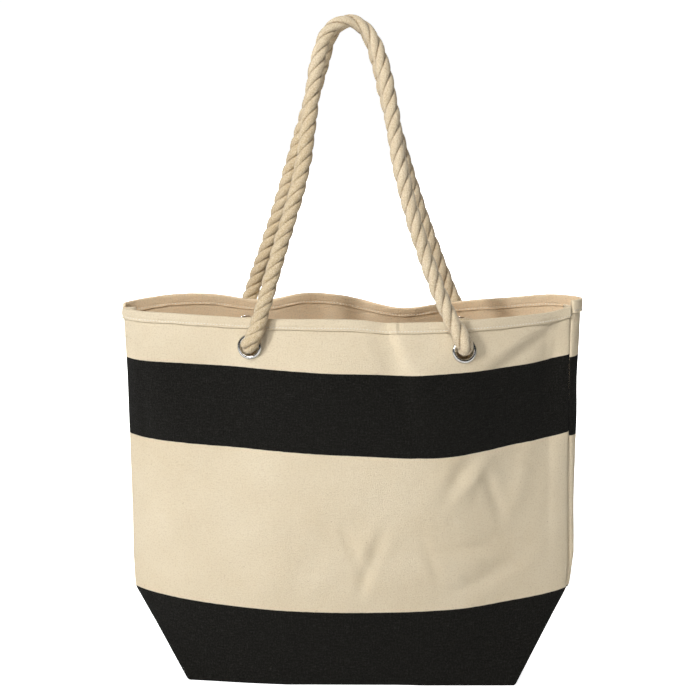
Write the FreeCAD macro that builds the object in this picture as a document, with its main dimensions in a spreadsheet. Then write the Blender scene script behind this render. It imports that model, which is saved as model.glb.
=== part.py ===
"""Striped canvas beach bag with two rope handles, in millimetres.

The origin is the middle of the base, on the surface the bag stands on. +Z is up, +X runs along the
bag's width and -Y points out of its front. The bag stands open and both handles are drawn up together.
"""
import FreeCAD, Part
import Sketcher
import math
import os

from FreeCAD import Placement, Rotation, Vector

os.makedirs("parts", exist_ok=True)
document = FreeCAD.newDocument("beach_bag")

# Driving dimensions: alias, value in millimetres, what it is.
SIZES = [
    ("half_width", 238, "middle of the bag to a side seam"),
    ("rim_height", 400, "floor to the top of the rim"),
    ("rim_half_depth", 46, "middle of the bag to a panel, at the rim"),
    ("shoulder_height", 342, "floor to where the drawn handles start to pull the panels together"),
    ("shoulder_half_depth", 66, "middle of the bag to a panel, at that height"),
    ("crease_height", 76, "floor to the upper end of the boxed corners"),
    ("crease_half_depth", 70, "middle of the bag to a panel, at that height"),
    ("base_half_length", 174, "half of the base along X"),
    ("base_half_depth", 75, "half of the base along Y"),
    ("cloth", 1.5, "canvas with its print and slack"),
    ("binding_height", 12, "height of the rim binding"),
    ("binding_ply", 1.2, "how far the binding stands off the canvas on each side"),
    ("allowance", 10, "width of a turned-in seam allowance"),
    ("allowance_ply", 2.4, "thickness of both plies of an allowance"),
    ("gap", 0.2, "room between a sewn or clenched piece and the cloth beside it"),
    ("eyelet_height", 367, "floor to the eyelets' centres"),
    ("front_left", 104, "middle to the front left eyelet"),
    ("front_right", 116, "middle to the front right eyelet"),
    ("back_left", 114, "middle to the back left eyelet"),
    ("back_right", 119, "middle to the back right eyelet"),
    ("bore", 8.4, "radius of an eyelet's bore"),
    ("barrel", 9.2, "outer radius of an eyelet's barrel"),
    ("flange", 13.2, "outer radius of an eyelet's flange"),
    ("washer_hole", 9.4, "inner radius of a washer"),
    ("washer_rim", 12.4, "outer radius of a washer"),
    ("washer_ply", 1.1, "thickness of a washer"),
    ("lip", 10.6, "radius of the barrel's rolled end"),
    ("lip_ply", 0.7, "thickness of the rolled end"),
    ("rope", 7.8, "radius of a rope"),
    ("knot_length", 19, "half of a stopper knot along the rope"),
    ("knot_width", 22, "half of a stopper knot across the rope"),
    ("tail", 44, "middle of a knot to the cut end of the rope"),
]

# Corners of each handle's route from its left eyelet to its right one. The turn at the top is tight,
# as over a hand or a hook, so the runs shorten towards it.
FRONT_ROUTE = [
    (-105, -62.5, 370), (-93, -57, 404), (-73, -45, 474), (-52, -33, 545), (-39, -22.5, 608),
    (-25, -14.5, 655), (-16, -10.5, 685), (-1.5, -8.6, 692.5), (13.5, -10.5, 685), (26, -14.5, 655),
    (38, -22.5, 608), (52.5, -32.5, 548), (74, -44, 480), (100, -56, 408), (117, -62.5, 370),
]
BACK_ROUTE = [
    (-115, 62.5, 370), (-108, 57, 404), (-84, 45, 474), (-58, 33, 545), (-37, 22.5, 605),
    (-22, 14.5, 648), (-13, 10.5, 677), (-0.5, 8.6, 684.5), (12, 10.5, 677), (22.5, 14.5, 648),
    (35, 22.5, 603), (54, 32.5, 545), (81, 44.5, 477), (109, 56.5, 406), (120, 62.5, 370),
]
ROUTES = {"front": FRONT_ROUTE, "back": BACK_ROUTE}
ARC_SHARE = 0.45  # of the shorter run beside a corner, which its arc may use
PUNCH = 10  # half of the length of a cylinder that cuts a hole through the canvas or an eyelet
BEYOND = 10  # how far a solid that cuts another reaches past it


def make_sheet():
    """The spreadsheet that holds every driving dimension."""
    table = document.addObject("Spreadsheet::Sheet", "sizes")
    for row, (alias, value, meaning) in enumerate(SIZES, start=1):
        table.set(f"A{row}", alias)
        table.set(f"B{row}", str(value))
        table.set(f"C{row}", meaning)
        table.setAlias(f"B{row}", alias)
    document.recompute()
    return table


SHEET = make_sheet()


def size(expression):
    """The value of an alias, or of an expression on the sheet."""
    return float(SHEET.evalExpression(expression))


def feature(name, shape):
    """A document object that holds a shape made with Part's own functions."""
    made = document.addObject("Part::Feature", name)
    made.Shape = shape
    return made


def primitive(kind, name, placement=None, **expressions):
    """A Part primitive whose sizes are bound to the sheet."""
    made = document.addObject(f"Part::{kind}", name)
    for side, expression in expressions.items():
        made.setExpression(side, expression)
    if placement:
        made.Placement = placement
    return made


def boolean(kind, name, base, tool):
    """A cut or a common of two objects."""
    made = document.addObject(f"Part::{kind}", name)
    made.Base, made.Tool = base, tool
    return made


def fuse(name, *members):
    """Several objects as one."""
    made = document.addObject("Part::MultiFuse", name)
    made.Shapes = list(members)
    return made


def region(name, low, high):
    """A box between two corners, given as expressions."""
    extents = {side: f"({stop}) - ({start})"
               for side, start, stop in zip(("Length", "Width", "Height"), low, high)}
    box = primitive("Box", name, **extents)
    for axis, start in zip("xyz", low):
        box.setExpression(f"Placement.Base.{axis}", start)
    return box


# ---- canvas body -------------------------------------------------------------------------------

def half_depth(height):
    """Middle of the bag to the outside of a panel at this height, above the boxed corners."""
    low, high = ("shoulder", "rim") if height > size("shoulder_height") else ("crease", "shoulder")
    share = (height - size(f"{low}_height")) / size(f"{high}_height - {low}_height")
    return size(f"{low}_half_depth") + share * size(f"{high}_half_depth - {low}_half_depth")


def half_sections(height, grow):
    """The back and front halves of the bag's oval section at a height, grown outwards."""
    oval = Part.Ellipse(Vector(0, 0, height), size("half_width") + grow, half_depth(height) + grow)
    back = Part.ArcOfEllipse(oval, 0, math.pi).toShape()
    front = Part.ArcOfEllipse(oval, math.pi, 2 * math.pi).toShape()
    return back, front


def closed_solid(faces):
    """One solid from faces that meet edge to edge."""
    shell = Part.makeShell(faces)
    shell.sewShape()
    solid = Part.makeSolid(shell)
    if solid.Volume < 0:
        solid.reverse()
    return solid


def oval_slab(low, high, grow):
    """The solid inside the panels' outer faces between two heights, grown outwards."""
    low_back, low_front = half_sections(low, grow)
    high_back, high_front = half_sections(high, grow)
    return closed_solid([
        Part.makeRuledSurface(low_back, high_back),
        Part.makeRuledSurface(low_front, high_front),
        Part.Face(Part.Wire([low_back, low_front])),
        Part.Face(Part.Wire([high_back, high_front])),
    ])


def boxed_base(floor, grow):
    """The solid below the boxed corners' upper ends: a flat floor, two panels and two triangles."""
    reach = size("base_half_length") + grow
    depth = size("base_half_depth") + grow
    back, front = half_sections(size("crease_height"), grow)
    corners = {(x, y): Vector(x * reach, y * depth, floor) for x in (-1, 1) for y in (-1, 1)}
    tips = {x: Vector(x * (size("half_width") + grow), 0, size("crease_height")) for x in (-1, 1)}
    triangles = [Part.Face(Part.makePolygon([tips[x], corners[x, -1], corners[x, 1], tips[x]]))
                 for x in (-1, 1)]
    around = [corners[-1, -1], corners[1, -1], corners[1, 1], corners[-1, 1], corners[-1, -1]]
    return closed_solid(triangles + [
        Part.makeRuledSurface(Part.makeLine(corners[-1, -1], corners[1, -1]), front),
        Part.makeRuledSurface(Part.makeLine(corners[1, 1], corners[-1, 1]), back),
        Part.Face(Part.makePolygon(around)),
        Part.Face(Part.Wire([back, front])),
    ])


def bag_form(name, floor, top, grow):
    """The whole solid inside one face of the canvas, from a floor to a top."""
    lower = oval_slab(size("crease_height"), size("shoulder_height"), grow)
    upper = oval_slab(size("shoulder_height"), top, grow)
    return feature(name, boxed_base(floor, grow).fuse([lower, upper]).removeSplitter())


def eyelet_placement(reach, side):
    """The frame of an eyelet at this place along X: its Z axis leaves the canvas square on.

    side is -1 on the front panel and 1 on the back one."""
    height, across = size("eyelet_height"), size("half_width")
    depth = half_depth(height)
    roundness = math.sqrt(1 - (reach / across) ** 2)
    lean = (half_depth(height - 1) - depth) * roundness
    outward = Vector(depth * reach / (across**2 * roundness), side, lean)
    return Placement(Vector(reach, side * depth * roundness, height), Rotation(Vector(0, 0, 1), outward))


EYELETS = {
    "front_left": eyelet_placement(-size("front_left"), -1),
    "front_right": eyelet_placement(size("front_right"), -1),
    "back_left": eyelet_placement(-size("back_left"), 1),
    "back_right": eyelet_placement(size("back_right"), 1),
}


def along_axis(place, height):
    """An eyelet's frame moved along its own axis."""
    return EYELETS[place].multiply(Placement(Vector(0, 0, height), Rotation()))


def punch(place, name, radius):
    """A cylinder along an eyelet's axis, for cutting a hole."""
    return primitive("Cylinder", f"{place}_{name}", along_axis(place, -PUNCH), Radius=radius,
                     Height=f"2 * {PUNCH}")


WIDE, HIGH = f"sizes.half_width + {BEYOND}", f"sizes.rim_height + {BEYOND}"
HALVES = {
    "front": region("front_half", [f"-({WIDE})", f"-({WIDE})", "sizes.cloth"], [WIDE, "0", HIGH]),
    "back": region("back_half", [f"-({WIDE})", "0", "sizes.cloth"], [WIDE, WIDE, HIGH]),
}
FLOOR_LAYER = region("floor_layer", [f"-({WIDE})", f"-({WIDE})", f"-{BEYOND}"],
                     [WIDE, WIDE, "sizes.cloth"])


def make_canvas():
    """The canvas body: a front panel and a back panel, each with two eyelet holes, and the base."""
    outer = bag_form("outer_form", 0, size("rim_height - binding_ply"), 0)
    inner = bag_form("inner_form", size("cloth"), size("rim_height") + BEYOND, -size("cloth"))
    canvas = boolean("Cut", "canvas", outer, inner)
    panels = [boolean("Common", "base_panel", canvas, FLOOR_LAYER)]
    for side, half in HALVES.items():
        holes = [punch(f"{side}_{hand}", "hole", "sizes.barrel + sizes.gap / 2")
                 for hand in ("left", "right")]
        blank = boolean("Common", f"{side}_blank", canvas, half)
        panels.append(boolean("Cut", f"{side}_panel", blank, fuse(f"{side}_holes", *holes)))
    return canvas, panels


def make_rim_binding(canvas):
    """The folded strip over the raw top edge of each panel."""
    low, high = size("rim_height - binding_height"), size("rim_height")
    outside = feature("binding_outside", oval_slab(low, high, size("binding_ply")))
    inside = feature("binding_inside",
                     oval_slab(low - BEYOND, high + BEYOND, -size("cloth + binding_ply")))
    ring = boolean("Cut", "binding_ring", outside, inside)
    strip = boolean("Cut", "binding_strip", ring, canvas)
    return [boolean("Common", f"{side}_rim_binding", strip, half) for side, half in HALVES.items()]


# ---- seam allowances ---------------------------------------------------------------------------

def padded_outline(name, corners, thickness):
    """A PartDesign body: an outline in the XZ plane with its corners bound to the sheet, padded
    evenly to both sides. corners are pairs of expressions."""
    body = document.addObject("PartDesign::Body", name)
    sketch = body.newObject("Sketcher::SketchObject", f"{name}_sketch")
    plane = [item for item in body.Origin.OriginFeatures if item.Role == "XZ_Plane"][0]
    sketch.AttachmentSupport = [(plane, "")]
    sketch.MapMode = "FlatFace"
    points = [Vector(size(across), size(up), 0) for across, up in corners]
    for start, stop in zip(points, points[1:] + points[:1]):
        sketch.addGeometry(Part.LineSegment(start, stop), False)
    for index, (point, texts) in enumerate(zip(points, corners)):
        before = (index - 1) % len(points)
        sketch.addConstraint(Sketcher.Constraint("Coincident", before, 2, index, 1))
        for kind, value, text in zip(("DistanceX", "DistanceY"), (point.x, point.y), texts):
            number = sketch.addConstraint(Sketcher.Constraint(kind, -1, 1, index, 1, value))
            sketch.setExpression(f"Constraints[{number}]", text)
    pad = body.newObject("PartDesign::Pad", f"{name}_pad")
    pad.Profile = sketch
    pad.Midplane = True
    pad.setExpression("Length", thickness)
    body.Tip = pad
    return body


def make_side_seam(name, turn):
    """The two turned-in allowances of a side seam: down the side, then down the boxed corner."""
    wall = "sizes.half_width - sizes.cloth - sizes.gap"
    inside = f"{wall} - sizes.allowance"
    foot = "sizes.base_half_length - sizes.cloth - 3 * sizes.gap"
    foot_height = "sizes.cloth + sizes.allowance_ply + 4 * sizes.gap"
    top = "sizes.rim_height - sizes.binding_height - sizes.gap"
    corners = [
        (wall, top), (inside, top), (inside, "sizes.crease_height + 0.4 * sizes.allowance"),
        (f"{foot} - 1.3 * sizes.allowance", foot_height), (foot, foot_height),
        (wall, "sizes.crease_height"),
    ]
    seam = padded_outline(name, corners, "sizes.allowance_ply")
    seam.Placement = Placement(Vector(), Rotation(Vector(0, 0, 1), turn))
    return seam


def make_corner_seam(name, turn):
    """The turned-in allowance of a boxed corner's seam, flat on the base along its short side."""
    depth = "sizes.base_half_depth - 3 * sizes.cloth"
    far = "sizes.base_half_length - 2 * sizes.cloth"
    seam = primitive("Box", name, Length="sizes.allowance", Width=f"2 * ({depth})",
                     Height="sizes.allowance_ply")
    corner = Vector(size(f"{far} - sizes.allowance"), -size(depth), size("cloth"))
    seam.Placement = Placement(Vector(), Rotation(Vector(0, 0, 1), turn)).multiply(
        Placement(corner, Rotation()))
    return seam


# ---- eyelets, knots and rope handles -----------------------------------------------------------

def make_eyelet(place):
    """A pressed eyelet: a domed flange outside, a barrel through the canvas and its rolled end."""
    lifted = along_axis(place, size("gap"))
    dome_middle, dome = "(sizes.flange + sizes.bore) / 2", "(sizes.flange - sizes.bore) / 2"
    ring = primitive("Torus", f"{place}_ring", lifted, Radius1=dome_middle, Radius2=dome)
    above = primitive("Cylinder", f"{place}_above", lifted, Radius="2 * sizes.flange",
                      Height="sizes.flange")
    domed = boolean("Common", f"{place}_dome", ring, above)
    inner_end = along_axis(place, -size("cloth + 2 * gap + washer_ply + lip_ply"))
    length = "sizes.cloth + 3 * sizes.gap + sizes.washer_ply + 2 * sizes.lip_ply"
    barrel = primitive("Cylinder", f"{place}_barrel", inner_end, Radius="sizes.barrel", Height=length)
    lip = primitive("Cylinder", f"{place}_lip", inner_end, Radius="sizes.lip", Height="sizes.lip_ply")
    solid = fuse(f"{place}_filled", domed, barrel, lip)
    return boolean("Cut", f"{place}_eyelet", solid, punch(place, "bore", "sizes.bore"))


def make_washer(place):
    """The ring inside the bag that the eyelet is clenched over."""
    seat = along_axis(place, -size("cloth + gap + washer_ply"))
    disc = primitive("Cylinder", f"{place}_disc", seat, Radius="sizes.washer_rim",
                     Height="sizes.washer_ply")
    return boolean("Cut", f"{place}_washer", disc, punch(place, "washer_hole", "sizes.washer_hole"))


def make_knot(place):
    """The rope's stopper knot inside the bag, with its cut tail and the stretch in the eyelet."""
    lip_face = size("cloth + 2 * gap + washer_ply + lip_ply")
    middle = along_axis(place, -lip_face - size("gap + knot_length"))
    ball = primitive("Ellipsoid", f"{place}_ball", middle, Radius1="sizes.knot_length",
                     Radius2="sizes.knot_width", Radius3="sizes.knot_width")
    outer_end = "(sizes.flange - sizes.bore) / 2 + sizes.gap"
    neck = primitive("Cylinder", f"{place}_neck", middle, Radius="sizes.rope",
                     Height=f"{lip_face} + sizes.gap + sizes.knot_length + {outer_end}")
    downwards = Placement(middle.Base, Rotation(Vector(0, 0, 1), Vector(0, 0, -1)))
    end = primitive("Cylinder", f"{place}_end", downwards, Radius="sizes.rope", Height="sizes.tail")
    return fuse(f"{place}_knot", ball, neck, end)


def rounded_path(route):
    """Straight runs joined by tangent arcs, each as large as its runs allow, and the arcs' radii."""
    corners = [Vector(*point) for point in route]
    edges, radii = [], []
    start = corners[0]
    for before, corner, after in zip(corners, corners[1:], corners[2:]):
        arriving, leaving = corner - before, after - corner
        half_turn = arriving.getAngle(leaving) / 2
        room = ARC_SHARE * min(arriving.Length, leaving.Length)
        arriving.normalize()
        leaving.normalize()
        first, last = corner - arriving * room, corner + leaving * room
        radius = room / math.tan(half_turn)
        inwards = leaving - arriving
        inwards.normalize()
        middle = corner + inwards * (radius / math.cos(half_turn) - radius)
        edges.append(Part.LineSegment(start, first).toShape())
        edges.append(Part.Arc(first, middle, last).toShape())
        radii.append(radius)
        start = last
    edges.append(Part.LineSegment(start, corners[-1]).toShape())
    return Part.Wire(edges), radii


def make_handle(side):
    """A rope handle outside the bag, round-ended where it turns out of each eyelet."""
    path, radii = rounded_path(ROUTES[side])
    start = path.Edges[0]
    ring = Part.Circle(start.valueAt(start.FirstParameter), start.tangentAt(start.FirstParameter),
                       size("rope"))
    tube = path.makePipeShell([Part.Wire([ring.toShape()])], True, False)
    expected = math.pi * size("rope") ** 2 * path.Length
    print(f"{side} handle: {path.Length:.1f} mm long, arc radii {[round(radius, 1) for radius in radii]}")
    if abs(tube.Volume / expected - 1) > 0.002:
        raise ValueError(f"{side} handle: volume {tube.Volume:.0f}, section times length {expected:.0f}")
    ends = [primitive("Sphere", f"{side}_turn_{hand}", Placement(Vector(*ROUTES[side][end]), Rotation()),
                      Radius="sizes.rope") for hand, end in (("left", 0), ("right", -1))]
    return fuse(f"{side}_handle_rope", feature(f"{side}_tube", tube), *ends)


# ---- the whole bag -----------------------------------------------------------------------------

def export(pieces):
    """Writes each piece to its own file, once every object of the document is sound."""
    document.recompute()
    for item in document.Objects:
        if "Invalid" in item.State or "Error" in item.State:
            raise ValueError(f"{item.Name} failed: {item.State}")
    for piece in pieces:
        if piece.Shape.isNull() or not piece.Shape.isValid() or len(piece.Shape.Solids) != 1:
            raise ValueError(f"{piece.Name} isn't one sound solid")
    for piece in pieces:
        piece.Label = piece.Name
        piece.Shape.exportStep(f"parts/{piece.Label}.step")
        box = piece.Shape.BoundBox
        print(f"{piece.Label}: {piece.Shape.Volume / 1000:.1f} cm3, x {box.XMin:.1f}..{box.XMax:.1f},"
              f" y {box.YMin:.1f}..{box.YMax:.1f}, z {box.ZMin:.1f}..{box.ZMax:.1f}")


canvas_body, PIECES = make_canvas()
PIECES += make_rim_binding(canvas_body)
for hand, turn in (("right", 0), ("left", 180)):
    PIECES.append(make_side_seam(f"{hand}_side_seam", turn))
    PIECES.append(make_corner_seam(f"{hand}_corner_seam", turn))
for place in EYELETS:
    PIECES += [make_eyelet(place), make_washer(place), make_knot(place)]
for side in ROUTES:
    PIECES.append(make_handle(side))
export(PIECES)
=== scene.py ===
import math

import bpy
import numpy as np
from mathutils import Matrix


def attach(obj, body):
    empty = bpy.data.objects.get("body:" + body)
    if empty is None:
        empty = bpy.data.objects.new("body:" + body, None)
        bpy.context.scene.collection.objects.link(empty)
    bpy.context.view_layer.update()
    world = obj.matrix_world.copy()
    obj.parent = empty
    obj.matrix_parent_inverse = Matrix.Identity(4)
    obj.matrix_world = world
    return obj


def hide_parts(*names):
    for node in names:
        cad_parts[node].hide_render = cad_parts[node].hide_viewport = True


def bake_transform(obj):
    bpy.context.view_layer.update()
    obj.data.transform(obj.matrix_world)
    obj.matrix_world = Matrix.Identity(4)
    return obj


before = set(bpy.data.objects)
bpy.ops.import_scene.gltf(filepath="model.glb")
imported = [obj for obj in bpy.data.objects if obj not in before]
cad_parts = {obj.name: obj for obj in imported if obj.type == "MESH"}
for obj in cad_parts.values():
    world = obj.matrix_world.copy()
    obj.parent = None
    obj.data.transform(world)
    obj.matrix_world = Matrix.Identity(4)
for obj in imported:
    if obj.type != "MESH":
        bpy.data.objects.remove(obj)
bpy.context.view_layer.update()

# ---- camera ------------------------------------------------------------------------------------
# The camera stands in front of the bag, a little above its rim, and looks slightly down on it.

camera = bpy.data.objects.new("camera", bpy.data.cameras.new("camera"))
camera.data.lens = 72
camera.data.sensor_width = 36
camera.location = (-0.0008, -1.425, 0.762)
camera.rotation_euler = (math.radians(73.86), 0, 0)
bpy.context.scene.collection.objects.link(camera)
bpy.context.scene.camera = camera

# ---- rope handles ------------------------------------------------------------------------------
# Two lengths of soft three-strand cotton rope, laid to the right. Each goes in at one eyelet, up over
# the hand or hook that holds it and down into the other eyelet of the same panel. Nothing but its two
# stopper knots holds it, so it turns freely in the eyelets.

STRAND_HALF = (0.0046, 0.0047)   # half height and half width of a strand
STRAND_OFFSET = 0.0034   # middle of the rope to the middle of a strand
STRAND_SQUARE = 2.25     # 2 is a round strand, and more is a squarer one
ROPE_STEP = 0.0016       # between two rings of points along a strand
STRAND_SIDES = 28        # points round a strand
YARNS = 22               # yarns that show round a strand
GROOVE_FROM = 38         # degrees off a strand's top at which the painted groove shade starts
GROOVE_OVER = 14         # degrees over which the painted groove shade darkens
CUT_END = 0.55           # how much thinner a strand is at its cut end
FRONT_ROUTE = [
    (-0.1035, -0.0330, 0.3640), (-0.1040, -0.0450, 0.3665), (-0.1042, -0.0550, 0.3695),
    (-0.0970, -0.0545, 0.3830), (-0.0905, -0.0515, 0.404), (-0.0700, -0.0435, 0.474),
    (-0.0475, -0.033, 0.545), (-0.0402, -0.0225, 0.608), (-0.0325, -0.0145, 0.655),
    (-0.0240, -0.0105, 0.682), (-0.0020, -0.0086, 0.6932), (0.0180, -0.0105, 0.682),
    (0.0300, -0.0145, 0.655), (0.0400, -0.0225, 0.608), (0.0485, -0.0325, 0.548),
    (0.0675, -0.0455, 0.480), (0.0955, -0.0585, 0.408), (0.1085, -0.0615, 0.3870),
    (0.1165, -0.0650, 0.3720), (0.1160, -0.0550, 0.3665), (0.1155, -0.0430, 0.3635),
]
BACK_ROUTE = [
    (-0.1135, 0.0390, 0.3630), (-0.1140, 0.0510, 0.3660), (-0.1145, 0.0615, 0.3700),
    (-0.1120, 0.0600, 0.3850), (-0.1065, 0.0545, 0.404), (-0.0815, 0.0450, 0.474),
    (-0.0600, 0.0330, 0.545), (-0.0420, 0.0225, 0.605), (-0.0280, 0.0145, 0.652),
    (-0.0195, 0.0105, 0.6800), (-0.0010, 0.0086, 0.6910), (0.0160, 0.0105, 0.6800),
    (0.0275, 0.0145, 0.651), (0.0385, 0.0225, 0.603), (0.0550, 0.0325, 0.545),
    (0.0775, 0.0445, 0.477), (0.1050, 0.0540, 0.406), (0.1140, 0.0590, 0.3850),
    (0.1200, 0.0610, 0.3700), (0.1192, 0.0505, 0.3660), (0.1188, 0.0385, 0.3625),
]
# Length of one turn of the lay at shares of the way along a handle: the left end is wound tighter.
LAY_AT = [0, 0.12, 0.4, 0.5, 0.62, 0.85, 1]
LAY_LENGTH = [0.037, 0.045, 0.047, 0.054, 0.050, 0.053, 0.060]
# Its thickness at shares of the way: narrower inside the eyelets, fuller just outside them and
# squeezed flatter over what holds it up.
SQUEEZE_AT = [0, 0.018, 0.034, 0.07, 0.42, 0.5, 0.58, 0.93, 0.966, 0.982, 1]
SQUEEZE = [0.94, 0.94, 1.14, 1.02, 1, 0.78, 1, 1.02, 1.14, 0.94, 0.94]


def unit(vectors):
    """Vectors of length one."""
    return vectors / np.linalg.norm(vectors, axis=-1, keepdims=True)


def grid_faces(rows, columns, closed=False):
    """Faces of a grid of points listed row by row, with the row and the column of each corner."""
    wide = columns if closed else columns - 1
    row, column = (a.ravel() for a in np.meshgrid(np.arange(rows - 1), np.arange(wide), indexing="ij"))
    corner_rows = np.stack([row, row, row + 1, row + 1], 1)
    corner_columns = np.stack([column, column + 1, column + 1, column], 1)
    return corner_rows * columns + corner_columns % columns, corner_rows, corner_columns


def new_piece(name, points, faces, material, uv=None):
    """A smooth mesh object. uv gives a pair for each corner of each face, in the faces' order."""
    mesh = bpy.data.meshes.new(name)
    mesh.from_pydata(np.asarray(points).tolist(), [], [list(map(int, face)) for face in faces])
    if uv is not None:
        mesh.uv_layers.new(name="cloth").data.foreach_set("uv", np.asarray(uv, np.float32).ravel())
    mesh.materials.append(material)
    mesh.shade_smooth()
    piece = bpy.data.objects.new(name, mesh)
    bpy.context.scene.collection.objects.link(piece)
    return piece


def drawn_line(control):
    """The points of the smooth line that these control points draw."""
    curve = bpy.data.curves.new("line", "CURVE")
    curve.dimensions = "3D"
    curve.resolution_u = 24
    spline = curve.splines.new("NURBS")
    spline.points.add(len(control) - 1)
    for point, place in zip(spline.points, control):
        point.co = (*place, 1)
    spline.order_u = 3
    spline.use_endpoint_u = True
    mesh = bpy.data.meshes.new_from_object(bpy.data.objects.new("line", curve))
    line = np.array([vertex.co for vertex in mesh.vertices], float)
    bpy.data.meshes.remove(mesh)
    bpy.data.curves.remove(curve)
    return line


def laid_rope(name, line, material, scale=1.0, lay_at=(0, 1), lay_length=(0.047, 0.047), first_turn=0.0,
              squeeze_at=(0, 1), squeeze=(1, 1)):
    """Three strands twisted round a line as one mesh. Its point attribute for the painted groove shade is 1
    in the grooves, where the rope's material paints shade.
    """
    lengths = np.linalg.norm(np.diff(line, axis=0), axis=1)
    along = np.concatenate([[0], np.cumsum(lengths)])
    at = np.linspace(0, along[-1], int(along[-1] / ROPE_STEP))
    middle = np.stack([np.interp(at, along, line[:, k]) for k in range(3)], 1)
    ahead = unit(np.gradient(middle, axis=0))
    side = np.zeros_like(ahead)
    side[0] = unit(np.cross(ahead[0], (0.3, 0.1, 1.0)))
    for i in range(1, len(at)):
        side[i] = unit(side[i - 1] - ahead[i] * (side[i - 1] @ ahead[i]))
    other = np.cross(ahead, side)
    step = at[1] - at[0]
    turn = first_turn + np.cumsum(2 * math.pi * step / np.interp(at / at[-1], lay_at, lay_length))
    slim = scale * np.interp(at / at[-1], squeeze_at, squeeze)
    around = np.linspace(0, 2 * math.pi, STRAND_SIDES, endpoint=False)
    high = STRAND_HALF[0] * np.sign(np.cos(around)) * np.abs(np.cos(around)) ** (2 / STRAND_SQUARE)
    wide = STRAND_HALF[1] * np.sign(np.sin(around)) * np.abs(np.sin(around)) ** (2 / STRAND_SQUARE)
    from_top = np.degrees(np.abs(np.arctan2(wide, STRAND_OFFSET + high)))
    groove = np.clip((from_top - GROOVE_FROM) / GROOVE_OVER, 0, 1)
    points, faces, uv, painted_groove_shade = [], [], [], []
    ring_faces, rows, columns = grid_faces(len(at), STRAND_SIDES, closed=True)
    for strand in range(3):
        angle = turn + strand * 2 * math.pi / 3
        swell = 1 + 0.035 * np.sin(at * 310 + strand * 2.1) + 0.025 * np.sin(at * 131 + strand * 4.0)
        out = np.cos(angle)[:, None] * side + np.sin(angle)[:, None] * other
        centre = middle + out * STRAND_OFFSET * slim[:, None]
        forward = unit(np.gradient(centre, axis=0))
        up = unit(out - forward * (out * forward).sum(1, keepdims=True))
        across = np.cross(forward, up)
        swell[[0, -1]] *= CUT_END
        rings = centre[:, None] + (slim * swell)[:, None, None] * (
            high[None, :, None] * up[:, None] + wide[None, :, None] * across[:, None])
        start = len(points) * len(at) * STRAND_SIDES
        points.append(rings.reshape(-1, 3))
        faces += (ring_faces + start).tolist()
        uv.append(np.stack([columns / STRAND_SIDES, at[rows] / scale], -1).reshape(-1, 2))
        first = start + np.arange(STRAND_SIDES)
        last = first + (len(at) - 1) * STRAND_SIDES
        faces += [first[::-1].tolist(), last.tolist()]
        uv.append(np.zeros((2 * STRAND_SIDES, 2)))
        painted_groove_shade.append(np.tile(groove, len(at)))
    piece = new_piece(name, np.concatenate(points), faces, material, np.concatenate(uv))
    piece.data.attributes.new("painted_groove_shade", "FLOAT", "POINT").data.foreach_set(
        "value", np.concatenate(painted_groove_shade).astype(np.float32))
    return piece, middle


def new_material(name, roughness, **values):
    """A material with a Principled shader: its node tree and its shader node."""
    material = bpy.data.materials.new(name)
    material.use_nodes = True
    shader = material.node_tree.nodes["Principled BSDF"]
    shader.inputs["Roughness"].default_value = roughness
    for socket, value in values.items():
        shader.inputs[socket.replace("_", " ")].default_value = value
    return material, material.node_tree, shader


def add_node(tree, kind, wires, **settings):
    """A node with its own settings, and each input wired to a socket or set to a value."""
    node = tree.nodes.new(kind)
    for setting, value in settings.items():
        setattr(node, setting, value)
    for where, value in wires.items():
        if isinstance(value, bpy.types.NodeSocket):
            tree.links.new(value, node.inputs[where])
        else:
            node.inputs[where].default_value = value
    return node


def calc(tree, operation, first, second=0.0, third=0.0):
    """The value of a sum done on one, two or three values."""
    return add_node(tree, "ShaderNodeMath", {0: first, 1: second, 2: third},
                    operation=operation).outputs[0]


def mix_colour(tree, share, first, second):
    """A colour between two."""
    return add_node(tree, "ShaderNodeMix", {0: share, 6: first, 7: second}, data_type="RGBA").outputs[2]


def noise(tree, vector, scale, detail=2.0, roughness=0.5):
    """Even noise from 0 to 1 over a pattern's coordinates."""
    return add_node(tree, "ShaderNodeTexNoise", {"Vector": vector, "Scale": scale, "Detail": detail,
                                                 "Roughness": roughness}).outputs["Fac"]


def ramp(tree, value, low, high):
    """0 up to low, 1 from high, and straight between them."""
    return add_node(tree, "ShaderNodeMapRange",
                    {"Value": value, "From Min": low, "From Max": high}).outputs[0]


def add_bump(tree, shader, height, distance, strength=1.0):
    """Relief of a fine height on a shader."""
    bump = add_node(tree, "ShaderNodeBump", {"Height": height, "Distance": distance, "Strength": strength})
    tree.links.new(bump.outputs["Normal"], shader.inputs["Normal"])


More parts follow.
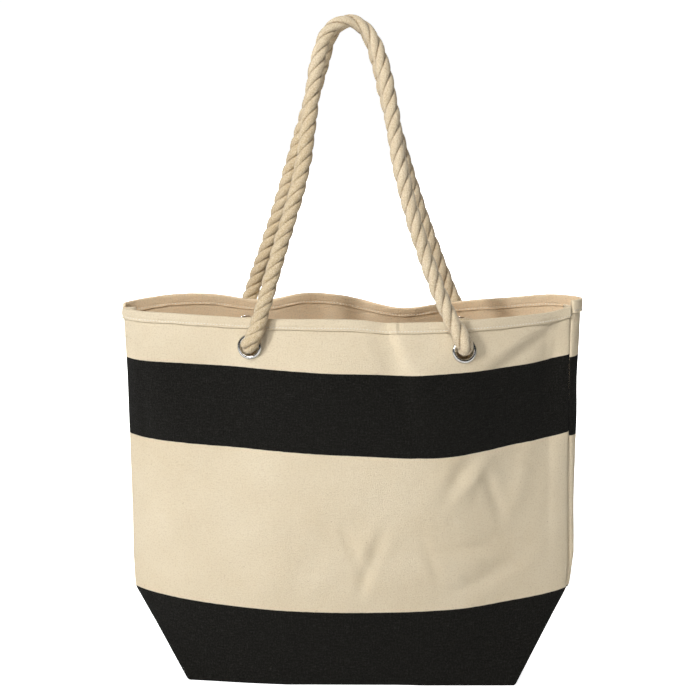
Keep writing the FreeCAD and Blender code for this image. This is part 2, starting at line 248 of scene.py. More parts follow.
def make_rope_material():
    """Undyed cotton: yarns side by side on each strand, with shade painted dark brown into the grooves of
    the lay and, faintly, between the yarns.
    """
    material, tree, shader = new_material("cotton_rope", 0.9, Sheen_Weight=0.25, Specular_IOR_Level=0.15)
    place = add_node(tree, "ShaderNodeTexCoord", {}).outputs["Object"]
    lay = add_node(tree, "ShaderNodeUVMap", {}, uv_map="cloth")
    split = add_node(tree, "ShaderNodeSeparateXYZ", {0: lay.outputs[0]})
    wander = noise(tree, place, 160, 2)
    turns = calc(tree, "MULTIPLY_ADD", split.outputs[0], float(YARNS),
                 calc(tree, "MULTIPLY", split.outputs[1], 430.0))
    phase = calc(tree, "MULTIPLY", calc(tree, "MULTIPLY_ADD", wander, 1.6, turns), 2 * math.pi)
    yarn = calc(tree, "MULTIPLY_ADD", calc(tree, "COSINE", phase), 0.5, 0.5)
    fluff = noise(tree, place, 850, 4, 0.75)
    patches = noise(tree, place, 45, 2)
    pale = mix_colour(tree, ramp(tree, patches, 0.3, 0.7), (0.62, 0.500, 0.325, 1), (0.71, 0.590, 0.405, 1))
    # The first third of each length is browner and darker.
    browner = calc(tree, "MULTIPLY", ramp(tree, split.outputs[1], 0.32, 0.24),
                   calc(tree, "MULTIPLY_ADD", patches, 0.9, 0.15))
    pale = mix_colour(tree, browner, pale, (0.50, 0.375, 0.205, 1))
    # Painted shade: the grooves of the lay are painted dark brown, from the rope's groove attribute.
    painted_groove_shade = add_node(tree, "ShaderNodeAttribute", {}, attribute_name="painted_groove_shade").outputs["Fac"]
    shaded = mix_colour(tree, calc(tree, "MULTIPLY", painted_groove_shade, 0.85), pale, (0.20, 0.110, 0.042, 1))
    # Painted shade: the yarns are painted a little darker where they meet, in the low ground between them.
    lined = mix_colour(tree, calc(tree, "MULTIPLY", calc(tree, "SUBTRACT", 1.0, yarn), 0.16), shaded,
                       (0.46, 0.34, 0.19, 1))
    flecked = mix_colour(tree, calc(tree, "MULTIPLY", ramp(tree, fluff, 0.47, 0.64), 0.55), lined,
                         (0.86, 0.78, 0.62, 1))
    flecked = mix_colour(tree, calc(tree, "MULTIPLY", ramp(tree, fluff, 0.50, 0.34), 0.50), flecked,
                         (0.38, 0.26, 0.13, 1))
    tree.links.new(flecked, shader.inputs["Base Color"])
    add_bump(tree, shader, calc(tree, "MULTIPLY_ADD", fluff, 2.2, yarn), 0.00022)
    return material


cotton_rope = make_rope_material()
for side, route, turn in (("front", FRONT_ROUTE, 0.4), ("back", BACK_ROUTE, 1.5)):
    rope, rope_line = laid_rope(f"{side}_rope", drawn_line(route), cotton_rope, lay_at=LAY_AT,
                                lay_length=LAY_LENGTH, first_turn=turn, squeeze_at=SQUEEZE_AT,
                                squeeze=SQUEEZE)
    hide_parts(f"{side}_handle_rope")
    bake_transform(rope)

# ---- canvas panels -----------------------------------------------------------------------------
# The front and the back are each one width of heavy undyed canvas, printed on the outside with a broad
# black stripe and a black bottom, and sewn together down both sides. The base is the same black canvas.
# The corners are boxed: each side seam is folded flat into a triangle and sewn across at the base.

HALF_WIDTH = 0.238
RIM = 0.400
CREASE = 0.076            # height of the upper ends of the boxed corners
BASE_REACH, BASE_DEPTH = 0.175, 0.077
FOLD_RADIUS = 0.0026      # of the fold between a panel and the base
CLOTH = 0.0011
PRINT_BANDS = [(-1.0, 0.0778), (0.256, 0.3425)]   # heights between which the canvas is black
# Half depth of the bag and how full its section is, at heights from the floor.
DEPTH_AT = [0, 0.076, 0.255, 0.342, 0.400, 0.45]
HALF_DEPTH = [0.075, 0.070, 0.070, 0.066, 0.046, 0.028]
FULLNESS = [0.75, 0.75, 0.62, 0.55, 0.50, 0.50]
# How far each side stands out beyond that half width, at the same heights and one more.
SIDE_AT = [0, 0.076, 0.10, 0.15, 0.21, 0.33, 0.38, 0.45]
LEFT_OUT = [0.0025, 0.0026, 0.0020, 0.0004, -0.0002, -0.0012, 0, 0]
RIGHT_OUT = [0.005, 0.0052, 0.0048, 0.0026, 0.0008, -0.0008, -0.0004, 0]
# How far the front edge of the base bows forward, at places along it.
FOOT_AT = [-0.175, -0.15, -0.125, -0.10, -0.07, 0.05, 0.08, 0.175]
FOOT_BOW = [-0.0025, 0, 0.003, 0.0055, 0.0078, 0.0085, 0.0100, 0.0100]
# How far the front seam of the right side lies forward of the bag's end.
SEAM_SHIFT = [0.0, 0.005, 0.009, 0.013, 0.014, 0.014]
SEAM_DITCH, SEAM_DITCH_HALF = 0.0020, 0.0024   # the cloth dips by this much, over this far, at a seam
HOLE_RADIUS = 0.0098      # of the hole in the canvas, hidden by the eyelet's ring
PANEL_COLUMNS, HIGH_ROWS, LOW_ROWS, FOLD_ROWS, CORNER_COLUMNS = 198, 126, 29, 6, 27
SQUARE_AT_RIM = 0.0012    # how far below the rim the panel's own cloth ends
EYELET_SPOTS = {"front_left": (-0.104, 0.367), "front_right": (0.116, 0.367),
                "back_left": (-0.114, 0.367), "back_right": (0.119, 0.367)}


def blurred(at, values, spread, low, high):
    """A table at each millimetre of a line drawn through values, with its corners rounded."""
    grid = np.arange(low, high + 0.0005, 0.001)
    drawn = np.interp(grid, at, values)
    reach = int(3 * spread * 1000)
    kernel = np.exp(-0.5 * (np.arange(-reach, reach + 1) / (spread * 1000)) ** 2)
    padded = np.pad(drawn, reach, mode="reflect", reflect_type="odd")
    return grid, np.convolve(padded, kernel / kernel.sum(), mode="valid")


depth_table = blurred(DEPTH_AT, HALF_DEPTH, 0.012, 0, 0.45)
fullness_table = blurred(DEPTH_AT, FULLNESS, 0.012, 0, 0.45)
shift_table = blurred(DEPTH_AT, SEAM_SHIFT, 0.012, 0, 0.45)
left_table = blurred(SIDE_AT, LEFT_OUT, 0.008, 0, 0.45)
right_table = blurred(SIDE_AT, RIGHT_OUT, 0.008, 0, 0.45)
swing = np.linspace(0, math.pi, 6001)
plan_x, plan_y = -HALF_WIDTH * np.cos(swing), 0.070 * np.sin(swing) ** 1.24
girth = np.concatenate([[0], np.cumsum(np.hypot(np.diff(plan_x), np.diff(plan_y)))])
GIRTH = girth[-1]         # round one face of the bag, from side to side

# How far the cloth hangs above or below its level height: at places along the bag, for some heights.
FRONT_SAG_AT = [-0.24, -0.18, -0.12, -0.08, -0.02, 0.012, 0.036, 0.052, 0.092, 0.12, 0.17, 0.21, 0.24]
FRONT_SAG = {
    0.076: [1, 1, 1, 0.5, 0.5, 0.5, 0.5, 0, -0.5, -1, 1, 0.5, 0],
    0.256: [3, 5, 6, 4, 0.5, -1, -2.5, -4, -5, -3, 3.5, 6, 6],
    0.342: [1.5, 6.3, 7.3, 4, 0.6, 0, -1.5, -4, -2, -1, 1, 4.5, 7.5],
    0.400: [-3, -1.5, -3.5, -5, -4.5, -5, -9.5, -9.5, -9.5, -8, -5, -2.5, 2],
}
FRONT_LEVEL = [0, 0, 0, -5]   # of that, what is hanging; the rest is the panel bowing forward or back
BOW_SHARE, BOW = 0.75, 2.6    # share that is bowing, and how far it moves the cloth for each millimetre
BACK_SAG_AT = [-0.24, -0.19, -0.165, -0.14, -0.114, -0.085, -0.066, -0.046,
               -0.02, 0.02, 0.056, 0.095, 0.117, 0.176, 0.215, 0.24]
BACK_SAG = {
    0.076: [0] * 16,
    0.256: [0] * 16,
    0.342: [0, 1, 1, 0, -2, -2, 0, 0, 0, -2, -2, -2, -2, 0, 2, 3],
    0.400: [0, 4, 4, 1.5, -5, -6.5, -1, 1.5, -1, -4, -6, -6.5, -6.5, 0, 6, 6],
}
SAG_TABLES = {
    outwards: (sorted(sag), [blurred(at, np.array(sag[height]) / 1000, 0.009, -0.26, 0.26)[1]
                             for height in sorted(sag)])
    for outwards, at, sag in ((-1, FRONT_SAG_AT, FRONT_SAG), (1, BACK_SAG_AT, BACK_SAG))
}

# Soft folds: start, end, half width, depth in metres, along x and up. Below zero is a hollow.
FRONT_FOLDS = [
    (-0.006, 0.172, 0.014, 0.118, 0.0055, -0.0016), (0.034, 0.172, 0.014, 0.112, 0.006, -0.0020),
    (0.014, 0.116, 0.010, 0.095, 0.006, -0.0012), (0.014, 0.160, 0.014, 0.140, 0.010, 0.0010),
    (0.142, 0.228, 0.160, 0.180, 0.0055, -0.0016), (0.122, 0.246, 0.100, 0.212, 0.008, -0.0026),
    (0.140, 0.240, 0.118, 0.214, 0.009, 0.0016), (0.078, 0.156, 0.094, 0.118, 0.0055, -0.0014),
    (0.092, 0.148, 0.156, 0.146, 0.007, -0.0014), (0.094, 0.136, 0.160, 0.134, 0.008, 0.0010),
    (0.104, 0.092, 0.176, 0.122, 0.011, -0.0026), (0.190, 0.250, 0.172, 0.175, 0.010, 0.0014),
    (-0.214, 0.215, -0.190, 0.185, 0.012, -0.0014),
    (-0.196, 0.125, -0.152, 0.117, 0.009, -0.0013),
    (-0.026, 0.150, -0.066, 0.098, 0.011, -0.0012), (-0.10, 0.135, -0.13, 0.105, 0.012, -0.0008),
    (0.140, 0.350, 0.200, 0.392, 0.009, 0.0016), (0.150, 0.338, 0.212, 0.378, 0.009, -0.0018),
    (0.128, 0.348, 0.150, 0.322, 0.010, -0.0012), (-0.128, 0.352, -0.165, 0.330, 0.012, -0.0010),
    (-0.085, 0.352, -0.045, 0.330, 0.014, -0.0010), (0.092, 0.352, 0.066, 0.322, 0.012, 0.0010),
]
BACK_FOLDS = [
    (-0.150, 0.340, -0.180, 0.290, 0.012, -0.0018),
    (-0.078, 0.345, -0.040, 0.290, 0.013, -0.0018), (0.150, 0.345, 0.180, 0.300, 0.012, -0.0016),
    (0.085, 0.345, 0.050, 0.290, 0.013, -0.0018), (-0.030, 0.200, 0.010, 0.130, 0.009, -0.0018),
    (0.060, 0.190, 0.024, 0.128, 0.009, -0.0015), (-0.160, 0.220, -0.120, 0.150, 0.010, -0.0016),
    (0.130, 0.230, 0.170, 0.140, 0.011, -0.0018), (-0.090, 0.120, -0.020, 0.110, 0.010, 0.0012),
    (0.090, 0.110, 0.150, 0.118, 0.010, -0.0014),
]


FOLD_STRENGTH = 0.9
# The dent below the front rim: its place, its drift to the right going down, its half width on the left,
# and, by height, its half width on the right and its depth. Beside it the hem has a small crease.
DENT_X, DENT_DRIFT, DENT_LEFT = 0.037, 0.22, 0.019
DENT_RIGHT = ([0.34, 0.40], [0.012, 0.0027])
DENT_DEPTH = ([0.25, 0.30, 0.345, 0.40], [0, 0.0030, 0.0065, 0.0088])
HEM_CREASE_X, HEM_CREASE_HALF, HEM_CREASE_DEPTH = 0.0495, 0.0024, 0.0020
# The pull below the right eyelet: a point on its line, the line's direction, and by how much the cloth
# falls back at distances below the line.
PULL_X, PULL_Z, PULL_DOWN, PULL_OVER = 0.122, 0.356, 0.31, 0.95
PULL_FALL = ([-0.003, 0.003, 0.028, 0.06], [0, 0.0015, 0.024, 0.030])
PULL_STRENGTH = 0.27
BACK_DENT_X, BACK_DENT_HALF, BACK_DENT_DEPTH = 0.056, 0.045, 0.016
CALM_RADIUS = 0.017       # round an eyelet, where the clenched metal holds the cloth flat


def fold_relief(x, z, outwards):
    """How far the folds lift the cloth of a panel off its plain shape."""
    relief = np.zeros_like(x)
    for x0, z0, x1, z1, wide, deep in FRONT_FOLDS if outwards < 0 else BACK_FOLDS:
        run = np.hypot(x1 - x0, z1 - z0)
        share = ((x - x0) * (x1 - x0) + (z - z0) * (z1 - z0)) / run**2
        off = ((x - x0) * (z1 - z0) - (z - z0) * (x1 - x0)) / run
        ends = np.clip(np.abs(share - 0.5) - 0.5, 0, None) * run / (1.4 * wide)
        profile = np.exp(-(off / wide) ** 2) - 0.35 * np.exp(-(np.abs(off / wide) - 1.9) ** 2)
        relief += FOLD_STRENGTH * deep * profile * np.exp(-ends**2) \
            * (0.55 + 0.45 * np.cos(math.pi * np.clip(share - 0.5, -0.5, 0.5)))
    seed = 0.0 if outwards < 0 else 2.0
    slow = (np.sin(x * 31 + z * 17 + seed) * np.sin(z * 27 - x * 9 + 1.3 + seed)
            + 0.6 * np.sin(x * 58 - z * 41 + 0.7 + seed) * np.sin(z * 49 + 2.1 * seed))
    relief += 0.0011 * slow
    relief += 0.00012 * np.sin(x * 310 + 3 * np.sin(z * 90)) * np.sin(z * 270 + 2 * np.sin(x * 70))
    if outwards < 0:
        middle = DENT_X + DENT_DRIFT * (RIM - z)
        right = np.interp(z, *DENT_RIGHT)
        deep = np.interp(z, *DENT_DEPTH)
        relief -= deep * np.exp(-((x - middle) / np.where(x < middle, DENT_LEFT, right)) ** 2)
        relief -= HEM_CREASE_DEPTH * np.exp(-((x - HEM_CREASE_X) / HEM_CREASE_HALF) ** 2) \
            * np.interp(z, [0.378, 0.40], [0, 1])
        below = (x - PULL_X) * PULL_DOWN - (z - PULL_Z) * PULL_OVER
        hang = np.interp(z, [0.25, 0.33], [0, 1]) * np.clip((x - 0.125) / 0.03, 0, 1)
        relief -= PULL_STRENGTH * hang * np.interp(below, *PULL_FALL)
    else:
        relief -= BACK_DENT_DEPTH * np.exp(-((x - BACK_DENT_X) / BACK_DENT_HALF) ** 2) \
            * np.interp(z, [0.22, 0.40], [0, 1]) ** 1.5
    calm = np.ones_like(x)
    for name, (spot_x, spot_z) in EYELET_SPOTS.items():
        if name.startswith("front") == (outwards < 0):
            calm *= 1 - np.exp(-(((x - spot_x) ** 2 + (z - spot_z) ** 2) / CALM_RADIUS**2) ** 2)
    return relief * calm


def level_point(length, height):
    """A point of the plain form at a length round the bag from its left side and a height."""
    length, height = np.broadcast_arrays(np.asarray(length, float), np.asarray(height, float))
    lap = np.mod(length, 2 * GIRTH)
    back = lap > GIRTH
    angle = np.interp(np.where(back, 2 * GIRTH - lap, lap), girth, swing)
    depth = np.interp(height, *depth_table)
    full = np.interp(height, *fullness_table)
    away = depth * np.sin(angle) ** (2 * full)
    puffed = np.clip((height - CREASE) / 0.04, 0, 1)
    right = 0.0058 * np.exp(-((lap - GIRTH - 0.008) / 0.013) ** 2)
    left = 0.0016 * np.exp(-(np.minimum(lap, 2 * GIRTH - lap) / 0.014) ** 2)
    ends = -np.cos(angle)
    x = HALF_WIDTH * ends + puffed * (right - left) \
        + ends.clip(0, None) ** 2 * np.interp(height, *right_table) \
        - ends.clip(None, 0) ** 2 * np.interp(height, *left_table)
    return np.stack([x, np.where(back, away, -away), height], -1)


def outward(length, height):
    """The direction square off the plain form."""
    small = 0.0006
    along = level_point(length + small, height) - level_point(length - small, height)
    up = level_point(length, height + small) - level_point(length, height - small)
    return unit(np.cross(along, up))


def seams_at(height, outwards):
    """The lengths round the bag at which a panel starts and ends."""
    shift = np.interp(height, *shift_table)
    return (0 * shift, GIRTH - shift) if outwards < 0 else (GIRTH - shift, 2 * GIRTH + 0 * shift)


def canvas_point(length, height, outwards, off=0.0):
    """A point on the outside of a panel above its crease, lifted off the cloth by off."""
    length, height = np.broadcast_arrays(np.asarray(length, float), np.asarray(height, float))
    plain = level_point(length, height)
    x = plain[..., 0]
    heights, tables = SAG_TABLES[outwards]
    grid = np.arange(-0.26, 0.2605, 0.001)
    levels = np.stack([np.interp(x, grid, table) for table in tables], -1)
    sag = np.zeros_like(x)
    for i in range(len(heights) - 1):
        share = np.clip((height - heights[i]) / (heights[i + 1] - heights[i]), 0, 1)
        sag += np.where((height >= heights[i]) & ((height < heights[i + 1]) | (i == len(heights) - 2)),
                        levels[..., i] + share * (levels[..., i + 1] - levels[..., i]), 0)
    first, last = seams_at(height, outwards)
    nearest = np.minimum(np.abs(length - first), np.abs(last - length))
    ditch = SEAM_DITCH * np.exp(-(nearest / SEAM_DITCH_HALF) ** 2)
    fade = np.clip((height - CREASE) / 0.03, 0, 1) * np.clip(nearest / 0.02, 0, 1)
    lift = fold_relief(x, height, outwards) * fade - ditch + off
    moved = plain + outward(length, height) * lift[..., None]
    if outwards < 0:
        bowed = BOW_SHARE * (sag - np.interp(height, heights, np.array(FRONT_LEVEL) / 1000))
        moved[..., 1] += BOW * bowed * np.clip(nearest / 0.03, 0, 1)
        sag = sag - bowed * np.clip(nearest / 0.03, 0, 1)
    moved[..., 2] += sag
    return moved


def relax(points, faces, share, rounds):
    """Evens out points towards their neighbours, by a share for each point."""
    edges = np.concatenate([faces[:, [0, 1]], faces[:, [1, 2]], faces[:, [2, 3]], faces[:, [3, 0]]])
    edges = edges[edges[:, 0] != edges[:, 1]]
    pairs = np.concatenate([edges, edges[:, ::-1]])
    count = np.bincount(pairs[:, 0], minlength=len(points)).clip(1)[:, None]
    for _ in range(rounds):
        total = np.stack([np.bincount(pairs[:, 0], points[pairs[:, 1], k], len(points))
                          for k in range(3)], 1)
        points = points + share[:, None] * (total / count - points)
    return points


def joined(points, faces, tolerance=1e-6):
    """Points and faces with points in the same place made one."""
    keys = np.round(points / tolerance).astype(np.int64)
    _, first, inverse = np.unique(keys, axis=0, return_index=True, return_inverse=True)
    return points[first], inverse.ravel()[faces]


def make_panel(name, outwards, materials):
    """A panel with its half of each boxed corner, and a hole at each eyelet."""
    low_rows = np.concatenate([FOLD_RADIUS * (1 - np.cos(np.linspace(0, math.pi / 2, FOLD_ROWS)))[:-1],
                               np.linspace(FOLD_RADIUS, CREASE, LOW_ROWS)])
    high_rows = np.linspace(CREASE, RIM - SQUARE_AT_RIM, HIGH_ROWS)
    shares = np.linspace(0, 1, PANEL_COLUMNS)
    first, last = seams_at(high_rows, outwards)
    lengths = first[:, None] + (last - first)[:, None] * shares
    upper = canvas_point(lengths, high_rows[:, None], outwards)
    top = upper[0]
    base_x = -outwards * BASE_REACH * (2 * shares - 1)
    bottom = np.stack([base_x, np.full(PANEL_COLUMNS, outwards * BASE_DEPTH), np.zeros(PANEL_COLUMNS)], 1)
    if outwards < 0:
        bottom[:, 1] -= np.interp(base_x, FOOT_AT, FOOT_BOW)
    rise = (low_rows / CREASE)[:, None, None]
    lower = bottom + rise * (top - bottom)
    # The lower part keeps its real width on the cloth, so the weave does not crowd towards the base.
    base_u = np.interp(shares, [0, 1], [GIRTH / 2 - BASE_REACH, GIRTH / 2 + BASE_REACH])
    lower_u = base_u + rise[:, :, 0] * (lengths[0] - lengths[0][0] - base_u)
    high_v = np.broadcast_to(high_rows[:, None], lengths.shape)
    low_v = np.broadcast_to(low_rows[:, None], lower_u.shape)
    patches = [(upper, np.stack([lengths - lengths[:, :1], high_v], -1)),
               (lower, np.stack([lower_u, low_v], -1))]
    for end, flip in ((0, True), (-1, False)):
        crease = lower[:, end]
        tip = lower[-1, end]
        foot = np.array([bottom[end, 0], 0.0, 0.0])
        seam = foot + rise[:, 0] * (tip - foot)
        wide = np.linspace(0, 1, CORNER_COLUMNS)[None, :, None]
        patch = crease[:, None] + wide * (seam - crease)[:, None]
        across = np.linalg.norm(seam - crease, axis=1)[:, None] * wide[..., 0]
        u = lower_u[:, [end]] + (-across if flip else across)
        if flip:
            patch, u = patch[:, ::-1], u[:, ::-1]
        patches.append((patch, np.stack([u, np.broadcast_to(low_rows[:, None], u.shape)], -1)))
    points, faces, uv = [], [], []
    for grid, cloth in patches:
        rows, wide = grid.shape[:2]
        made, corner_rows, corner_columns = grid_faces(rows, wide)
        faces.append(made + sum(map(len, points)))
        points.append(grid.reshape(-1, 3))
        uv.append(cloth[corner_rows, corner_columns])
    points, faces, uv = np.concatenate(points), np.concatenate(faces), np.concatenate(uv)
    height = points[:, 2]
    under = np.clip(FOLD_RADIUS - height, 0, None)
    inset = FOLD_RADIUS - np.sqrt(np.clip(FOLD_RADIUS**2 - under**2, 0, None))
    points[:, 0] *= 1 - inset / BASE_REACH
    points[:, 1] *= 1 - inset / BASE_DEPTH
    points, faces = joined(points, faces)
    edges = np.sort(np.concatenate([faces[:, [i, (i + 1) % 4]] for i in range(4)]), axis=1)
    pair, uses = np.unique(edges[edges[:, 0] != edges[:, 1]], axis=0, return_counts=True)
    rim = np.zeros(len(points), bool)
    rim[pair[uses == 1].ravel()] = True
    share = 0.5 * np.exp(-((points[:, 2] - CREASE) / 0.006) ** 2)
    # The folded edges of the boxed corners are rounded off too.
    from_corner = np.stack([np.abs(points[:, 0]) - BASE_REACH, np.abs(points[:, 1]) - BASE_DEPTH,
                            points[:, 2]], 1)
    direction = unit(np.array([HALF_WIDTH - BASE_REACH, -BASE_DEPTH, CREASE]))
    near = np.linalg.norm(np.cross(from_corner, direction), axis=1)
    share = np.maximum(share, 0.5 * np.exp(-(near / 0.003) ** 2) * (points[:, 2] < CREASE + 0.004))
    share[rim] = 0
    points = relax(points, faces, share, 2)
    centres = points[faces].mean(1)
    keep = np.ones(len(faces), bool)
    for spot, place in EYELETS.items():
        if spot.startswith("front") == (outwards < 0):
            keep &= np.linalg.norm(centres - place[0], axis=1) > HOLE_RADIUS
    faces, uv = faces[keep], uv[keep]
    used, faces = np.unique(faces, return_inverse=True)
    points, faces = points[used], faces.reshape(-1, 4)
    # Two corners in one place make the face a triangle.
    lists, pairs = [], []
    for face, corners in zip(faces.tolist(), uv):
        kept = [i for i in range(4) if face[i] != face[i - 1]]
        lists.append([face[i] for i in kept])
        pairs.append(corners[kept])
    panel = new_piece(name, points, lists, materials[0], np.concatenate(pairs))
    panel.data.materials.append(materials[1])
    thicken(panel, CLOTH)
    return panel


def thicken(piece, thickness):
    """Gives a cloth its thickness inwards, with the second material inside, and makes it a plain mesh."""
    wall = piece.modifiers.new("wall", "SOLIDIFY")
    wall.thickness = thickness
    wall.offset = -1
    wall.use_even_offset = False
    wall.material_offset = 1
    wall.material_offset_rim = 1
    made_plain(piece)


def made_plain(piece):
    """Takes the result of a piece's modifiers as its mesh."""
    bpy.context.view_layer.update()
    graph = bpy.context.evaluated_depsgraph_get()
    mesh = bpy.data.meshes.new_from_object(piece.evaluated_get(graph), preserve_all_data_layers=True,
                                           depsgraph=graph)
    piece.modifiers.clear()
    piece.data = mesh


def eyelet_frame(spot):
    """An eyelet's place on the outside of the cloth, and the direction that it faces."""
    x, height = EYELET_SPOTS[spot]
    outwards = -1 if spot.startswith("front") else 1
    along = np.interp(x, plan_x, girth)
    length = along if outwards < 0 else 2 * GIRTH - along
    reach = 0.012
    across = canvas_point(length + reach, height, outwards) - canvas_point(length - reach, height, outwards)
    up = canvas_point(length, height + reach, outwards) - canvas_point(length, height - reach, outwards)
    return canvas_point(length, height, outwards), unit(np.cross(across, up))


EYELETS = {spot: eyelet_frame(spot) for spot in EYELET_SPOTS}
WARP_PITCH, WEFT_PITCH = 0.00105, 0.00115   # between two threads across the cloth and up it


def make_canvas_material(name, printed, pale=(0.79, 0.663, 0.462, 1), paler=(0.84, 0.723, 0.526, 1)):
    """Heavy plain-woven cotton. Printed cloth is black between its bands' heights and undyed elsewhere."""
    material, tree, shader = new_material(name, 0.92, Sheen_Weight=0.03 if printed else 0.08,
                                          Specular_IOR_Level=0.06)
    cloth = add_node(tree, "ShaderNodeUVMap", {}, uv_map="cloth").outputs[0]
    place = add_node(tree, "ShaderNodeTexCoord", {}).outputs["Object"]
    split = add_node(tree, "ShaderNodeSeparateXYZ", {0: cloth})
    across, height = split.outputs[0], split.outputs[1]

    def stretched(wide, high):
        return add_node(tree, "ShaderNodeMapping", {"Vector": cloth, "Scale": (wide, high, 1)}).outputs[0]

    weft = noise(tree, stretched(90, 1500), 1, 2, 0.6)
    warp = noise(tree, stretched(1500, 90), 1, 2, 0.6)
    pebble = noise(tree, stretched(560, 560), 1, 2, 0.6)
    wander = noise(tree, stretched(140, 140), 1, 1)
    tone = noise(tree, place, 16, 3, 0.55)
    slanted = calc(tree, "MULTIPLY_ADD", wander, 0.0009, across)
    weft_rise = calc(tree, "COSINE", calc(tree, "MULTIPLY", slanted, 2 * math.pi / WARP_PITCH))
    risen = calc(tree, "MULTIPLY_ADD", wander, 0.0007, height)
    warp_rise = calc(tree, "COSINE", calc(tree, "MULTIPLY", risen, 2 * math.pi / WEFT_PITCH))
    nubs = calc(tree, "MULTIPLY", weft_rise, warp_rise)
    threads = calc(tree, "ADD", weft, warp)
    relief = calc(tree, "MULTIPLY_ADD", nubs, 0.5, calc(tree, "MULTIPLY_ADD", pebble, 1.3, threads))
    undyed = mix_colour(tree, ramp(tree, tone, 0.3, 0.7), pale, paler)
    undyed = mix_colour(tree, calc(tree, "MULTIPLY", ramp(tree, threads, 0.85, 1.25), 0.34), undyed,
                        (0.89, 0.80, 0.62, 1))
    undyed = mix_colour(tree, calc(tree, "MULTIPLY", ramp(tree, pebble, 0.52, 0.30), 0.34), undyed,
                        (0.58, 0.45, 0.28, 1))
    specks = noise(tree, place, 420, 1)
    colour = mix_colour(tree, calc(tree, "MULTIPLY", ramp(tree, specks, 0.745, 0.80), 0.45), undyed,
                        (0.40, 0.27, 0.13, 1))
    if printed:
        ink = mix_colour(tree, ramp(tree, calc(tree, "MULTIPLY_ADD", nubs, 0.12, pebble), 0.42, 0.78),
                         (0.0064, 0.0061, 0.0050, 1), (0.021, 0.0203, 0.0170, 1))
        ink = mix_colour(tree, calc(tree, "MULTIPLY", ramp(tree, threads, 1.08, 1.40), 0.55), ink,
                         (0.048, 0.047, 0.042, 1))
        ragged = calc(tree, "MULTIPLY_ADD", wander, 0.0006, height)
        inked = 0.0
        for low, high in PRINT_BANDS:
            band = calc(tree, "MULTIPLY", ramp(tree, ragged, low, low + 0.0005),
                        ramp(tree, ragged, high + 0.0005, high))
            inked = calc(tree, "MAXIMUM", inked, band)
        colour = mix_colour(tree, inked, colour, ink)
    tree.links.new(colour, shader.inputs["Base Color"])
    add_bump(tree, shader, relief, 0.00042)
    return material


printed_canvas = make_canvas_material("printed_canvas", True)
natural_canvas = make_canvas_material("natural_canvas", False)
# Painted light: the inside is the same undyed cotton as the outside, painted warmer and brighter to stand
# in for the warm light bounced round the inside of the bag.
inside_canvas_painted_bounce = make_canvas_material("inside_canvas_painted_bounce", False, (0.94, 0.705, 0.450, 1), (0.97, 0.765, 0.520, 1))
panels = {}
for side, outwards in (("front", -1), ("back", 1)):
    panels[side] = make_panel(f"{side}_cloth", outwards, (printed_canvas, inside_canvas_painted_bounce))
    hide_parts(f"{side}_panel")
    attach(panels[side], "bag")

# ---- base --------------------------------------------------------------------------------------
# The base is a plain rectangle of the printed canvas, black side down. It carries the bag's weight, so
# it lies nearly flat and only lifts a little between its folded long sides and its sewn short ones.

base_x = np.linspace(-1, 1, 130) * (BASE_REACH - FOLD_RADIUS)
base_y = np.linspace(1, -1, 56) * (BASE_DEPTH - FOLD_RADIUS)
spot_x, spot_y = np.meshgrid(base_x, base_y)
edge = np.minimum(BASE_REACH - FOLD_RADIUS - np.abs(spot_x), BASE_DEPTH - FOLD_RADIUS - np.abs(spot_y))
sink = np.clip(edge / 0.02, 0, 1)
lift = sink * 0.0008 * (1 + np.sin(spot_x * 61 + 1.2) * np.sin(spot_y * 75 + spot_x * 18)) \
    + 0.0008 * np.exp(-((np.abs(spot_x) - BASE_REACH + FOLD_RADIUS) / 0.0018) ** 2)
bowed_y = spot_y - np.interp(spot_x, FOOT_AT, FOOT_BOW) \
    * np.clip(-spot_y / (BASE_DEPTH - FOLD_RADIUS), 0, 1)
base_points = np.stack([spot_x, bowed_y, lift], -1)
base_faces, base_rows, base_columns = grid_faces(*spot_x.shape)
base_uv = np.stack([spot_x + GIRTH / 2, spot_y - 0.2], -1)[base_rows, base_columns]
base = new_piece("base_cloth", base_points.reshape(-1, 3), base_faces, printed_canvas, base_uv)
base.data.materials.append(inside_canvas_painted_bounce)
thicken(base, CLOTH)
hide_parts("base_panel")
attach(base, "bag")

# ---- rim hems ----------------------------------------------------------------------------------
# A strip of undyed canvas folded over each raw top edge and sewn down through all plies, a little above
# its lower edge. It puckers between the stitches, and its ends are caught in the side seams.

STITCH_PITCH = 0.0033
STITCH_HEIGHT = RIM - 0.0096
# Section of the folded strip in millimetres: off the outside of the panel, and up from the rim.
HEM_SECTION = [
    (1.95, -11.9), (2.05, -11.2), (1.15, -9.6), (1.75, -8.1), (1.70, -5.0), (1.55, -2.0),
    (1.25, -0.7), (0.55, 0.0), (-0.55, 0.2), (-1.65, 0.0), (-2.05, -0.7), (-2.15, -2.0),
    (-2.15, -5.0), (-2.05, -8.0), (-1.70, -9.6), (-2.15, -10.9), (-2.10, -11.6), (-1.80, -12.0),
    (-1.30, -11.9), (-1.20, -9.0), (-1.15, -3.0), (-0.95, -1.4), (-0.15, -1.4), (0.05, -3.0),
    (0.08, -9.0), (0.40, -12.0), (1.35, -12.4),
]


